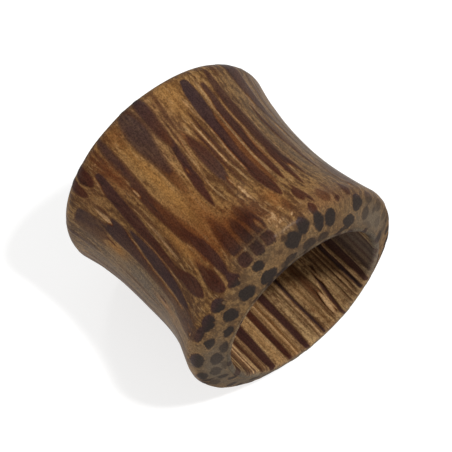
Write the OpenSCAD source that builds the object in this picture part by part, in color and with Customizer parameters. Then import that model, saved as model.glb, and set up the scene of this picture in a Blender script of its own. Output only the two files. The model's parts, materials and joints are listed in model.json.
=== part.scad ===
// Wooden flesh tunnel: a short tube whose concave waist sits in the ear lobe, with a
// rounded flare at each end that keeps it there, and a straight bore all the way through.
// It lies on its side, as it does on a table. The bore runs along X, both flares rest on
// the plane Z = 0, and the origin is on that plane under the middle of the tunnel.

/* [Tunnel] */
// Diameter of the waist, which is the size of ear hole that it is worn in
waist_d = 14; // [12:0.5:20]
// Overall length, from one mouth to the other
length = 14.8; // [12:0.1:18]
// Thickness of the wall at the waist
wall = 1.4; // [1.3:0.1:1.8]

/* [Flares] */
// How much wider each flare is than the waist, in diameter
flare = 1.6; // [1.4:0.1:2.4]
// Radius of the rounded crest of a flare
crest_r = 1; // [0.6:0.05:1]
// How far the end face falls back from the mouth to the crest, in degrees
face_slope = 25; // [15:1:35]
// Rounding of the edge where the bore opens
mouth_r = 0.25; // [0.1:0.05:0.4]
// Depth of the small flat that each flare rests on, which keeps it from rolling away
rest_flat = 0.1; // [0.05:0.01:0.2]

/* [Hidden] */
$fn = 128;

// Places on the profile are [distance from the axis, distance from the middle].
waist_r = waist_d / 2;
flare_r = waist_r + flare / 2;
bore_r = waist_r - wall;

// A point on a circle, where the surface there faces `turn` degrees away from straight
// outwards, towards the near end.
function on_circle(centre, radius, turn) =
    centre + radius * [cos(turn), sin(turn)];

// The end face is a straight line on the profile that touches the mouth's circle and
// the crest's circle, so it sets how far the crest stands from the middle. The line's
// ends are tucked just under those circles, so that rounding leaves no sliver there.
face_turn = 90 - face_slope;
tuck = 0.0002;
mouth_centre = [bore_r + mouth_r, length / 2 - mouth_r];
crest_centre = [
    flare_r - crest_r,
    mouth_centre[1] - (crest_r - mouth_r
        + (flare_r - crest_r - mouth_centre[0]) * cos(face_turn)) / sin(face_turn)
];

// The waist is one arc, sized to touch both crests.
saddle_r = (pow(crest_centre[1], 2) + pow(crest_centre[0] - waist_r, 2) - pow(crest_r, 2))
    / (flare_r - waist_r) / 2;
saddle_centre = [waist_r + saddle_r, 0];
saddle_turn = atan(crest_centre[1] / (saddle_centre[0] - crest_centre[0]));
saddle_end = on_circle(crest_centre, crest_r, -saddle_turn);

// Half of the wall's section, from the middle to one mouth
module half_section() {
    difference() {
        polygon([
            [bore_r, 0],
            [flare_r, 0],
            [flare_r, saddle_end[1]],
            saddle_end,
            crest_centre,
            on_circle(crest_centre, crest_r - tuck, face_turn),
            on_circle(mouth_centre, mouth_r - tuck, face_turn),
            mouth_centre,
            [bore_r, mouth_centre[1]]
        ]);
        translate(saddle_centre) circle(r = saddle_r);
    }
    translate(crest_centre) circle(r = crest_r);
    translate(mouth_centre) circle(r = mouth_r);
}

// The turned ring of wood, with its axis along X
module ring() {
    rotate([0, 90, 0]) rotate_extrude() {
        half_section();
        mirror([0, 1]) half_section();
    }
}

// The finished piece, lying on the flats of its two flares
module tunnel() {
    color("saddlebrown") difference() {
        translate([0, 0, flare_r - rest_flat]) ring();
        translate([-length / 2, -flare_r, -flare_r]) cube([length, 2 * flare_r, flare_r]);
    }
}

tunnel();
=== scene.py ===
# %% [markdown]
# # A turned palm-wood ear tunnel
# The object is a short tube of palm wood that sits in a stretched ear lobe. It is one piece:
# a concave waist, a rounded flare at each end, sloped end faces and a straight bore. Its
# whole character is in the wood. Palm has no growth rings: dark bundles of fibre run through
# a paler ground, all along one way, like rods through sponge. Wherever the turner's knife
# met them they show another shape. On the waist they are long pointed streaks, on the end
# faces they are ovals, and in the bore they are straight stripes.
#
# The lesson turns the tube with Geometry Nodes, lets nodes draw every bundle on its surface,
# carves what stands proud or lies deep, and then finishes the wood with shader nodes.

# %% The measured frame
import json
import math
import random

import bpy
import numpy as np
from mathutils import Matrix, Vector


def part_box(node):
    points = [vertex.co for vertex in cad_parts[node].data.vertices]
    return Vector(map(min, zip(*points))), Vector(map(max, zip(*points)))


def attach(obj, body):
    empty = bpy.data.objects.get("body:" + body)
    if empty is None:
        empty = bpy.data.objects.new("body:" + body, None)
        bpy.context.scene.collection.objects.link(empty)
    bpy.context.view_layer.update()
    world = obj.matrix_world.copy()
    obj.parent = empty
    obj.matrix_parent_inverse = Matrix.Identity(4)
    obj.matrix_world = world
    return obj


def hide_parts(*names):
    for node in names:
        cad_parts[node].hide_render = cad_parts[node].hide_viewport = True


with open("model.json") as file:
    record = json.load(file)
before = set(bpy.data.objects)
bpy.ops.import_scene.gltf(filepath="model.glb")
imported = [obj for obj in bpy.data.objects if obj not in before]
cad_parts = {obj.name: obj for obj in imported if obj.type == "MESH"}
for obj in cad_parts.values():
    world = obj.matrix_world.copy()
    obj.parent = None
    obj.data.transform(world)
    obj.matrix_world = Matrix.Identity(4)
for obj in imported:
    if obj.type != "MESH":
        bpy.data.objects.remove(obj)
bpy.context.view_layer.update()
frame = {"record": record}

# %% [markdown]
# Every size comes from the measured solid where it holds it: the length and the flares from
# its box, the height and the width of the bore from its mount. The rest are the turner's
# own few numbers. `FACE_TURN` is the way an end face looks, from 0, straight outwards, to 90,
# along the bore. A place on the surface is given by two others: `x` along the bore, and
# `turn`, the angle round it in degrees from straight up towards the front.

# %% Sizes, in millimetres
MM = 0.001

low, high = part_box("tunnel")
bore = next(mount for mount in frame["record"]["mounts"] if mount["name"] == "bore")
HALF_LENGTH = (high.x - low.x) / 2 / MM
FLARE_R = (high.y - low.y) / 2 / MM
BORE_R = bore["dims"]["r_mm"]
AXIS_HEIGHT = bore["pos_m"][2] / MM
WAIST_R = 7.0
CREST_R = 1.0
MOUTH_R = 0.25
FACE_TURN = 65.0
print(f"length {2 * HALF_LENGTH:.2f}, flares {2 * FLARE_R:.2f}, bore {2 * BORE_R:.2f}, "
      f"axis at {AXIS_HEIGHT:.2f}")

# %% [markdown]
# The section of the wall is a few arcs and lines that touch each other: the waist's long
# arc, the crest of the flare, the sloped face, the small round of the mouth and the bore.
# It could be drawn by hand as a curve, but arcs worked out from the sizes stay exactly round.
# Points are close together on the small curves and wider apart along the fibres, where
# nothing changes quickly.

# %% The section of the wall
MOUTH_CENTRE = (BORE_R + MOUTH_R, HALF_LENGTH - MOUTH_R)
crest_centre_r = FLARE_R - CREST_R
face_turn = math.radians(FACE_TURN)
crest_drop = CREST_R - MOUTH_R + (crest_centre_r - MOUTH_CENTRE[0]) * math.cos(face_turn)
CREST_CENTRE = (crest_centre_r, MOUTH_CENTRE[1] - crest_drop / math.sin(face_turn))
waist_rise = CREST_CENTRE[1] ** 2 + (crest_centre_r - WAIST_R) ** 2 - CREST_R ** 2
SADDLE_R = waist_rise / (FLARE_R - WAIST_R) / 2
SADDLE_TURN = math.degrees(math.atan(CREST_CENTRE[1] / (WAIST_R + SADDLE_R - crest_centre_r)))
SADDLE_STEPS = 23
CREST_STEPS = 12
FACE_STEPS = 12
MOUTH_STEPS = 5
BORE_STEPS = 23


def arc(centre, radius, start, end, steps):
    """Places (r, x) on an arc, without its last one; turns go from outwards to the near end."""
    turns = np.radians(np.linspace(start, end, steps, endpoint=False))
    return np.stack([centre[0] + radius * np.cos(turns), centre[1] + radius * np.sin(turns)], 1)


saddle = arc((WAIST_R + SADDLE_R, 0), SADDLE_R, 180, 180 - SADDLE_TURN, SADDLE_STEPS)
crest = arc(CREST_CENTRE, CREST_R, -SADDLE_TURN, FACE_TURN, CREST_STEPS)
mouth = arc(MOUTH_CENTRE, MOUTH_R, FACE_TURN, 180, MOUTH_STEPS)
face_top = arc(CREST_CENTRE, CREST_R, FACE_TURN, 180, 1)[0]
face = np.linspace(face_top, mouth[0], FACE_STEPS, endpoint=False)
bore_line = np.linspace((BORE_R, MOUTH_CENTRE[1]), (BORE_R, 0), BORE_STEPS + 1)
near_half = np.concatenate([saddle, crest, face, mouth, bore_line])


def both_halves(near, sign):
    """A column for the whole section: the near half, then its mirror image times sign."""
    return np.concatenate([near, near[1:-1][::-1] * sign])


section = both_halves(near_half, (1, -1))
print(f"crests at x {CREST_CENTRE[1]:.3f}, saddle radius {SADDLE_R:.3f}, "
      f"{len(section)} points on the section")

# %% [markdown]
# Each point of the section also knows how far along the surface it lies from the middle of
# the waist, as a tailor's tape would measure it, so that a chart of the wood can run over
# the crest without a stretch. The bore with its two mouths is a second sheet, whose measure
# starts far beyond the first one's, so nothing drawn on one shows through on the other. The
# crest is widest within its first `FLANK_STEPS`, and places given by r lie past them.
# `end_share` says how far the surface faces along the bore, from 0 on the waist to 1 at the mouth.

# %% How far along the surface
BORE_SHEET = 100.0
FLANK_STEPS = CREST_STEPS // 3

face_start = len(saddle) + len(crest)
mouth_start = face_start + len(face)
bore_start = mouth_start + len(mouth)
near_along = np.concatenate([[0], np.cumsum(np.hypot(*np.diff(near_half, axis=0).T))])
from_middle = near_half[bore_start, 1] + near_along[bore_start] - near_along
in_bore = both_halves(np.arange(len(near_half)) >= mouth_start, 1)
section_along = np.where(in_bore, BORE_SHEET + both_halves(from_middle, -1),
                         both_halves(near_along, -1))


def along_at_x(x):
    """The measure at x on the waist or a flare."""
    outside = slice(face_start + 1)
    return math.copysign(np.interp(abs(x), near_half[outside, 1], near_along[outside]), x)


def along_at_r(r):
    """The measure at distance r from the axis, on the near flare's outer round or its end face."""
    slope = slice(len(saddle) + FLANK_STEPS, mouth_start + 1)
    return float(np.interp(-r, -near_half[slope, 0], near_along[slope]))


to_next = np.roll(section, -1, axis=0) - np.roll(section, 1, axis=0)
end_share = np.abs(to_next[:, 0]) / np.hypot(*to_next.T)
print(f"the end face lies {along_at_r(7.2):.2f} to {along_at_r(6.0):.2f} mm from the middle")

# %% [markdown]
# Node trees are built by hand here, so a few helpers keep them readable. A `Wire` is the end
# of a node that can be added or multiplied like a number, and each sum becomes a Math node.
# Clicking the nodes together would give the same trees, but written sums are easier to check.

# %% Wires between nodes


class Wire:
    """An output of a node, with arithmetic."""

    def __init__(self, tree, socket):
        self.tree = tree
        self.socket = socket

    def math(self, operation, *others):
        return math_node(self.tree, operation, self, *others)

    def __add__(self, other):
        return self.math("ADD", other)

    def __sub__(self, other):
        return self.math("SUBTRACT", other)

    def __mul__(self, other):
        return self.math("MULTIPLY", other)

    def __truediv__(self, other):
        return self.math("DIVIDE", other)

    def __rsub__(self, other):
        return math_node(self.tree, "SUBTRACT", other, self)

    __radd__ = __add__
    __rmul__ = __mul__


def plug(value, socket):
    """Joins a wire to a socket, or sets the socket to a plain value."""
    if isinstance(value, Wire):
        value.tree.links.new(value.socket, socket)
    else:
        socket.default_value = value


def node(tree, kind, values, **settings):
    """A new node with its settings made and its inputs joined; values go by name or number."""
    made = tree.nodes.new(kind)
    for setting, value in settings.items():
        setattr(made, setting, value)
    for socket, value in values.items():
        plug(value, made.inputs[socket])
    return made


def wire(tree, kind, values, output=0, **settings):
    """The same, giving one of the new node's outputs."""
    return Wire(tree, node(tree, kind, values, **settings).outputs[output])


def math_node(tree, operation, *values):
    return wire(tree, "ShaderNodeMath", dict(enumerate(values)), operation=operation)


# %% [markdown]
# A few more helpers stand for the nodes that are wanted again and again: they take a vector
# apart, ease a value from one level to another, or make noise. The noise can be drawn out
# along the bore, as everything in palm wood is.

# %% Sums, vectors and noise


def vector(tree, x, y, z):
    return wire(tree, "ShaderNodeCombineXYZ", {0: x, 1: y, 2: z})


def parts(place):
    """The three numbers of a vector."""
    split = node(place.tree, "ShaderNodeSeparateXYZ", {0: place})
    return [Wire(place.tree, socket) for socket in split.outputs]


def times(place, factors):
    """A vector multiplied number by number."""
    return wire(place.tree, "ShaderNodeVectorMath", {0: place, 1: factors}, operation="MULTIPLY")


def shift(place, offsets):
    return wire(place.tree, "ShaderNodeVectorMath", {0: place, 1: offsets}, operation="ADD")


def ease(value, start, end, low=0.0, high=1.0):
    """Goes smoothly from low to high while the value goes from start to end."""
    values = {"Value": value, "From Min": start, "From Max": end, "To Min": low, "To Max": high}
    return wire(value.tree, "ShaderNodeMapRange", values, interpolation_type="SMOOTHSTEP")


def blend(share, first, second):
    """first where the share is 0, second where it is 1."""
    return wire(share.tree, "ShaderNodeMix", {0: share, 2: first, 3: second})


def noise(place, squeeze, per_mm, detail, seed):
    """Noise from 0 to 1, `per_mm` lumps in a millimetre, drawn out along x by a squeeze below 1."""
    squeezed = times(place, (squeeze, 1.0, 1.0))
    values = {"Vector": squeezed, "W": seed, "Scale": per_mm, "Detail": detail}
    return wire(place.tree, "ShaderNodeTexNoise", values, noise_dimensions="4D")


# %% [markdown]
# Each tree has named inputs, so its sizes can also be changed in Blender's own panels. The
# names of the socket kinds are long, so each gets a short one here.

# %% Trees with named inputs


def new_tree(name, kind, inputs, outputs):
    """A node group with named inputs and outputs, and its wires in as a dictionary."""
    tree = bpy.data.node_groups.new(name, kind)
    for socket, (socket_kind, value) in inputs.items():
        made = tree.interface.new_socket(socket, in_out="INPUT", socket_type=socket_kind)
        if value is not None:
            made.default_value = value
    for socket, socket_kind in outputs.items():
        tree.interface.new_socket(socket, in_out="OUTPUT", socket_type=socket_kind)
    start = tree.nodes.new("NodeGroupInput")
    return tree, {name: Wire(tree, start.outputs[name]) for name in inputs}


def finish_tree(tree, results):
    end = tree.nodes.new("NodeGroupOutput")
    for name, result in results.items():
        plug(result, end.inputs[name])
    print(f"{tree.name}: {len(tree.nodes)} nodes")
    return tree


GEOMETRY = "NodeSocketGeometry"
NUMBER = "NodeSocketFloat"
WHOLE = "NodeSocketInt"
THING = "NodeSocketObject"
FINISH = "NodeSocketMaterial"
PLACE = "NodeSocketVector"
COLOUR = "NodeSocketColor"
VECTOR = "FLOAT_VECTOR"
print("helpers for wires and trees are ready")

# %% [markdown]
# Geometry Nodes carry facts about the wood on the points of the mesh. These helpers store
# one, read it back, and pass the mesh through the same nodes once for each row of a chart.
# A Repeat zone does that, so a chart of any length needs only one set of nodes.

# %% Facts on the points of a mesh


def keep(geometry, name, value, kind="FLOAT"):
    """Stores a value under a name on each point."""
    values = {"Geometry": geometry, "Name": name, "Value": value}
    return wire(geometry.tree, "GeometryNodeStoreNamedAttribute", values, data_type=kind, domain="POINT")


def recall(tree, name, kind="FLOAT"):
    return wire(tree, "GeometryNodeInputNamedAttribute", {"Name": name}, data_type=kind)


def look_up(rows, name, index):
    """The stored vector of one row of a chart."""
    values = {"Geometry": rows, "Value": recall(rows.tree, name, VECTOR), "Index": index}
    return wire(rows.tree, "GeometryNodeSampleIndex", values, data_type=VECTOR, domain="POINT")


def for_each_row(geometry, rows, draw):
    """Passes the geometry through draw(geometry, rows, index) once for each row."""
    tree = geometry.tree
    begin = tree.nodes.new("GeometryNodeRepeatInput")
    end = tree.nodes.new("GeometryNodeRepeatOutput")
    begin.pair_with_output(end)
    count = wire(tree, "GeometryNodeAttributeDomainSize", {"Geometry": rows}, component="MESH")
    plug(count, begin.inputs["Iterations"])
    plug(geometry, begin.inputs["Geometry"])
    index = Wire(tree, begin.outputs["Iteration"])
    drawn = draw(Wire(tree, begin.outputs["Geometry"]), rows, index)
    plug(drawn, end.inputs["Geometry"])
    return Wire(tree, end.outputs["Geometry"])


# %% [markdown]
# A chart is put on a mesh of loose points, one for each row, because a tree can look values up
# there. A tree is put on an object as a modifier, whose inputs are set by their identifiers.

# %% Charts on points, and trees on objects


def add_object(name, data):
    made = bpy.data.objects.new(name, data)
    bpy.context.scene.collection.objects.link(made)
    return made


def rows_object(name, rows):
    """A mesh with one loose point for each row, which stores the row's vectors by their names."""
    mesh = bpy.data.meshes.new(name)
    mesh.from_pydata([(0, 0, 0)] * len(rows), [], [])
    for fact in rows[0]:
        values = np.array([row[fact] for row in rows], dtype=np.float32)
        mesh.attributes.new(fact, VECTOR, "POINT").data.foreach_set("vector", values.ravel())
    print(f"{name}: {len(rows)} rows")
    return add_object(name, mesh)


def use_tree(thing, tree, values):
    """Adds the tree as a modifier and sets its inputs by their identifiers."""
    modifier = thing.modifiers.new(tree.name, "NODES")
    modifier.node_group = tree
    for item in tree.interface.items_tree:
        if item.in_out == "INPUT" and item.name in values:
            modifier[item.identifier] = values[item.name]


# %% [markdown]
# The turning itself: the section becomes a curve, a circle carries it round the bore, and
# each point is then put exactly where its own x, r and turn say. A Screw modifier could
# turn it too, but here every point keeps those three numbers for the drawing that follows.

# %% The lathe
STEPS_ROUND = 664
DEGREE = math.pi / 180


def place_on_lathe(x, r, turn):
    """The place in metres of a point at x, at distance r from the axis, at that turn."""
    angle = turn * DEGREE
    y = r * math_node(angle.tree, "SINE", angle) * -1.0
    z = r * math_node(angle.tree, "COSINE", angle) + AXIS_HEIGHT
    return times(vector(angle.tree, x, y, z), (MM, MM, MM))


def lathe_tree():
    tree, wires = new_tree("turned_on_lathe", "GeometryNodeTree",
                           {"Section": (GEOMETRY, None), "Steps Round": (WHOLE, 64)},
                           {"Turned": GEOMETRY})
    steps = wires["Steps Round"]
    circle = wire(tree, "GeometryNodeCurvePrimitiveCircle", {"Resolution": steps})
    index = wire(tree, "GeometryNodeInputIndex", {})
    circle = keep(circle, "turn", index * 360.0 / steps)
    profile = wire(tree, "GeometryNodeMeshToCurve", {"Mesh": wires["Section"]})
    turned = wire(tree, "GeometryNodeCurveToMesh", {"Curve": circle, "Profile Curve": profile})
    turned = wire(tree, "GeometryNodeFlipFaces", {"Mesh": turned})
    x, r = parts(recall(tree, "spot", VECTOR))[:2]
    placed = place_on_lathe(x, r, recall(tree, "turn"))
    turned = wire(tree, "GeometryNodeSetPosition", {"Geometry": turned, "Position": placed})
    return finish_tree(tree, {"Turned": turned})


def section_object():
    """The closed section as a wire mesh whose points know their x, r and measure."""
    count = len(section)
    edges = [(i, (i + 1) % count) for i in range(count)]
    mesh = bpy.data.meshes.new("section")
    mesh.from_pydata([(r, x, 0) for r, x in section], edges, [])
    spots = np.stack([section[:, 1], section[:, 0], section_along], 1).astype(np.float32)
    mesh.attributes.new("spot", VECTOR, "POINT").data.foreach_set("vector", spots.ravel())
    for name, values in (("in_bore", in_bore), ("end_share", end_share)):
        numbers = mesh.attributes.new(name, "FLOAT", "POINT").data
        numbers.foreach_set("value", values.astype(np.float32))
    return add_object("palm_tunnel", mesh)


tunnel = section_object()
use_tree(tunnel, lathe_tree(), {"Steps Round": STEPS_ROUND})

# %% [markdown]
# The streaks of the waist are charted, one row for each bundle that the knife cut
# lengthwise: where it comes up, where it dives, and half its width in degrees between. A value
# that changes along the streak is written `from>to`. `form` is near 0 for a strip, 0.5 for an
# oval and 1 for a pointed streak. `hue` is 0 for the cold, nearly black heart of a bundle, 1 for
# red-brown, 2 for the orange-brown of a thin shaving of bundle with light in it, and 3 for a
# straw-pale fibre. `depth` says how much of the ground the colour hides, and `soft` is 1 where
# the edge is lost in the ground. The last cells may be left out: `peak` is where along the
# streak it is widest, usually the middle, and `bow` bends it, in degrees. Later rows lie over
# earlier ones. Drawn curves could do the same, but a chart can be read and mended line by line.

# %% Streaks on the waist and the near flare
# The row from x 5.52 to 5.7 round turn 21 is a pale tool ring on the crest and partly a painted
# highlight.
# The tiny hue 3 rows near the lip at turns -1 to 10, at 18.6, 25.3 and 44 to 47, at -41 to -38 and at 71
# to 86 are pale flecks that are partly painted glints.
STREAKS = """
x         turn        half form hue     depth soft peak bow
-7.2>-1.4 -38.6>-45   4.8  .5   .2>.4   1>.8  .5   .3
-2.6>.8   -45.6>-46.2 1.5  .6   .4      .6    .8
2>5.6     -46.2>-46.8 2.3  .6   .4      .6    .8
-2.2>1.6  -40>-39.4   2.2  .7   .6      .5>.4 1
2.6>6     -43>-42     3.4  .6   .4      .5>.4 1
-6.2>1    -51.5>-52.5 1.8  .6   .3>.4   .6>.4 .8   .4
-6.4>-5.2 -28         1.4  .6   1       .7>.5 .8
-3>1      -35.6>-36.6 1.6  .7   .8      1>.9  .4
.1>3.4    -37.4>-36.9 1.4  .7   .8      .9>.8 .5
-.8>.9    -34.2>-33.8 .5   .6   2.6     .5    .3
5.2>5.6   -41.4>-38.4 .8   .6   3       1     .2
-4.4>3    -28.2>-27.7 .6   .5   2.7     .4>.5 .4
-3.8>-2.4 -38.6>-38.4 1.2  .6   2.6     .5    .5   .55
-1.4>-.2  -43.2>-44.4 .8   .7   2.9     .7>.5 .4
-5.4>-4   -55.6>-55.4 1.2  .6   .4      .6    .8
-.9>1.6   -54.2>-52.6 1.6  .6   .4      .5    .9
1.2>2.7   -46.2>-40.8 .9   .7   2.8     .7>.6 .4   .5   .5
1.6>3.6   -24.9>-24.4 1.4  .6   .9      .9>.8 .1   .3
.6>4.3    -20.6>-18   1.7  .6   .7>.9   1>.9  .1   .42
-6>2.7    -23>-22.9   3.2  .34  .4>.9   .8>1  .2   .5   -.4
2.3>3.4   -22.3>-21.7 .5   .7   2.8     .6>.7 .1
-4.8>2.6  -19.7>-17.2 .5   .6   2.7     .4>.5 .3   .5   -.9
-5.3>3.3  -17>-13.3   3    .52  .2>1    .9>1  .1   .42  -.2
-1.2>2    -18.2>-16.9 .8   .6   2.2>2   .8>.7 .5
-5.8>-3.2 -14.6>-13.9 1    .6   2.9     .4    .6
-3.6>3.3  -11>-8.6    2.4  .5   1.2>1.3 .9>.8 .4
-5.9>4.25 -9.6>-4.7   4    .36  0>1     1     .1   .42
-3.2>3.4  -11.7>-8.6  2    .6   1.6     .8    .6
-3.6>2.8  -14>-10.2   .6   .5   2.8>2.9 .5    .3   .45
.9>4.2    -4.2>-4.6   2.2  .4   .9>.8   1>.9  .1   .45
-5>-2.8   -3.2>-3.9   .6   .6   2.9>2.8 .5    .4
-2.7>1.2  -3.9>-2.9   .5   .5   2.7>2.9 .6>.7 .2
-4>2.4    -1>-1.2     .9   .7   .7>.9   1>.7  .1   .42
-3.6>.9   .8>1        .7   .5   2.9     .7    .1
-3>2.4    2.4>3       1.1  .7   .7>.8   1>.8  .2   .42  .3
-2.6>.8   4.3         .5   .6   2.7     .6>.5 .2
-3.2>-1.2 7.6         2    .6   1.9>1.4 .7>.8 .7
0>2.2     8.4>9.6     2.6  .6   .6>1    .7>.6 .8   .4
.4>2.3    10.8>10.9   1.2  .6   1       .6>.5 .7
-2.8>1.2  6.8>8       3.7  .55  1>0     1>.9  .5   .56
1.9>3.4   6.4>6.6     .8   .6   3       .7>.6 .3   .4
2.3>2.6   6.2>6.3     .7   .5   3       1     .1
1>1.8     7.5>7.2     .4   .6   2.9     .7>.6 .2
4.8>5.6   5.6>6.8     .9   .6   3       .7    .5
5>5.3     7>7.4       .7   .5   3       .9    .2
5.6>5.9   5.6>7       .6   .5   3       .8    .3
5.7>6     8>8.8       .6   .5   3       .7    .3
2.7>3     7>7.2       .6   .5   3       .9    .2
5>5.6     8.3>9.6     .5   .6   3       .8    .2
5>5.3     .8>1.1      .7   .5   3       .8    .2
5.7>5.9   -.4>.8      .9   .5   3       .8    .2
5.7>5.9   4.4>5.6     .9   .5   2.9     .7    .3
4.5>5.7   -2.2>-1.4   2.2  .6   1.4     .6>.5 .9
-6.4>-3   6>8.6       .8   .7   .8      .7    .4
-5>.4     8.8>13.2    .6   .7   .9      .8>.7 .2   .5   .4
-3.4>-.6  9>12.9      .4   .6   2.6     .5>.6 .2   .5   .2
-2.6>.9   12.8>16.4   .6   .7   .9      .8>.7 .2   .5   .3
-1.6>.8   12.6>15     .4   .6   2.6     .4>.5 .3   .5   .3
-1.2>1.2  16.6>17.4   1.2  .6   1.2>1.3 .6>.5 .7
-4.2>2.1  11.3>21.2   2.3  .6   .4>.9   1     .1   .56  1.5
-.92>-.78 18.6>18.7   .5   .5   3       .3    0
-7.4>-2.8 13.2>15.4   3.6  .5   .1>1.1  1>.9  .6   .45
-6.9>-3.6 21.6>21.8   4.6  .5   .8>.5   .7    .9
-3.5>.2   25>25.6     3    .6   .7>1.7  .9>.5 .8   .4
-6.4>-1.6 23.4>25     4.6  .5   0>.5    .8    .8   .4
-6.6>-1   37.9>41.3   2.5  .4   .3>.8   .8>.9 .7   .4
-3.1>2.5  42.7>42     3.4  .5   .7>1.2  .9    .4   .42
-1.2>2.7  40.7>39.4   2.1  .6   1.3>1   .9    .5
.2>6      40.4>37.4   2.9  .4   1.2>.5  .9>1  .2   .58  -.5
.6>2.7    37.4>36.4   1    .7   1.7     .6>.7 .6
-2.9>-2   43.7>44.2   .6   .6   2.7     .7    .2   .6
-6.4>-4.8 42.4>43.2   .9   .7   .9      .7>.6 .5
-6.4>-4.2 45.4        .9   .7   1>1.1   .6>.5 .8
-4.4>-4.3 43.9>44     .5   .5   3       .8    .2
-5.7>-5.4 46.6>46.8   .5   .5   2.9     .8    .2
-4.1>-4   46.4>46.6   .4   .5   2.9     .8    .2
-3>.4     49.6>49.8   .8   .6   .9>1    .7>.6 .3
.6>2.7    49.8>50     .8   .6   .9      .7>.6 .3
-2.3>-1.2 50.9>51     .5   .6   2.7     .6    .2
-1.1>2.5  51>52.3     .8   .5   2.7     .6    .3
3.2>4.9   45.6>45     1.8  .6   1.9>1.4 .6>.8 .8
3.7>6.4   46>44.2     3.7  .6   1.1>.8  .9>1  .3   .62
-5.2>3.8  50.2>56.6   3.2  .32  .5>1.1  1>.9  .1   .32  2.6
2.3>5.5   56.2>53.2   3.5  .6   1.1>.7  .9>1  .1   .6
-5.4>-4   52>55.6     .6   .6   2.6     .6>.5 .3
-7.2>-4.9 55>55.4     3.3  .5   .9>1    1     .1
-7.2>-4.9 62.2        2.6  .5   .9>1    1     .1
-1.4>4.2  59.2>59.8   .5   .5   2.6     .4    .3
-1.8>5.4  69.2>70.8   3.6  .5   1>.8    .6>.7 .9
2.8>6.5   70>71.5     6    .5   .4>.3   .6>.7 1    .6
-4.2>-1.5 69.3>72.3   1.4  .6   .3>.4   .9>.8 .3   .55
-3.2>.7   66.6>69.9   4.9  .34  .2>.6   1>.8  .2   .3
-4.4>-3   63.2>63.4   .9   .6   .9      .7    .4
-1.7>4.9  61.3>64.3   3.8  .65  .2>.4   1     0    .52  .9
-1.8>.9   62.7>68     .4   .5   2.7     .4>.3 .4   .5   .4
.9>4.4    68.3>67.8   .4   .5   2.8     .4>.3 .6
-4.6>-2.9 65.2>66     1.5  .5   2.8     .6>.9 .1   .7
-5.6>-2.9 76>75.6     6.4  .4   0>.5    .9>.6 .5   .38
-5.7>-2.8 80>80.6     2    .6   .4      .6>.5 1
-3>-2     75.4>75.9   .7   .6   .9      .9    .2
-2.6>-2.2 72.6>72.8   .6   .5   .4      .8    .2
2.1>2.9   77.8>77.9   .9   .5   .8      1     .3
1.6>3.2   80.5>80.2   1.4  .6   2.6     .5    .7
3.4>5.4   84          1.3  .6   2.6     .4    .9
5.42>5.62 71          .8   .5   3       1     .1
5.66>5.84 73.8>73.4   .8   .5   3       .9    .1
5.8>5.98  77.6>77     .8   .5   3       1     .1
5.88>6.08 81.8>81     .9   .5   3       .9    .1
5.92>6.12 86.2>85.4   .8   .5   3       .8    .1
-6.4>-3.2 88.4>88.8   1.8  .6   .3      .7>.5 .6
-2>2.4    87>87.4     1.3  .7   .5      .5>.4 .8
-5>2      102>101     3    .6   .4      .6>.5 .6
3.7>5.9   -12>-12.4   1.4  .6   1.1>.8  .8>1  .2   .55
4.2>5.5   -10.6>-9.4  1.9  .5   1>.9    1     .2
5>6.2     -19.2>-18.6 2.9  .5   1.4>1.2 .6>.7 .7   .6
5>6.3     -33>-31.6   2.4  .5   1>.9    .8>.9 .3   .6
6>6.4     -24>-23.8   1.6  .5   .9      .9    .1
2.7>5.6   15.7>14.4   4.3  .4   1.5>.4  .8>1  .5   .66
3.2>5.6   21>21.2     3.2  .4   1.3>.4  .8>1  .5   .64
2.1>5.6   27.5>28     3.8  .4   1.6>.4  .8>1  .5   .68
5.65>6.5  14.9>15.1   3.4  .2   .6      1     .3
5.65>6.5  21.1>21.3   2.8  .2   .6      1     .3
5.65>6.5  27.8>28.2   3.2  .2   .6      1     .3
5.8>6.5   -9.4>-9     2.3  .5   .9>.8   1     .1
5.7>6.7   37.6        2.4  .4   .5>.3   1     .1
4.2>6.3   18>18.2     .6   .4   1.6>2.2 .4>.2 .6
3.6>6.4   24.2>24.6   .6   .4   1.6>2.2 .4>.2 .6
5.52>5.7  21          9.5  .2   2.2     .2    .6
5.58>5.74 25.3        .7   .5   3       .8    .2
4.6>5.4   13.6>13.4   .8   .6   2.3     .3    .9
"""

# %% [markdown]
# On the sloped end face the same bundles are cut across, so each is an oval. Its row gives
# its middle by turn and distance from the axis, half its width in degrees, and half its height
# in millimetres. They all have edges of one softness.

# %% Ovals on the near end face
OVAL_SOFT = 0.3

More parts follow.
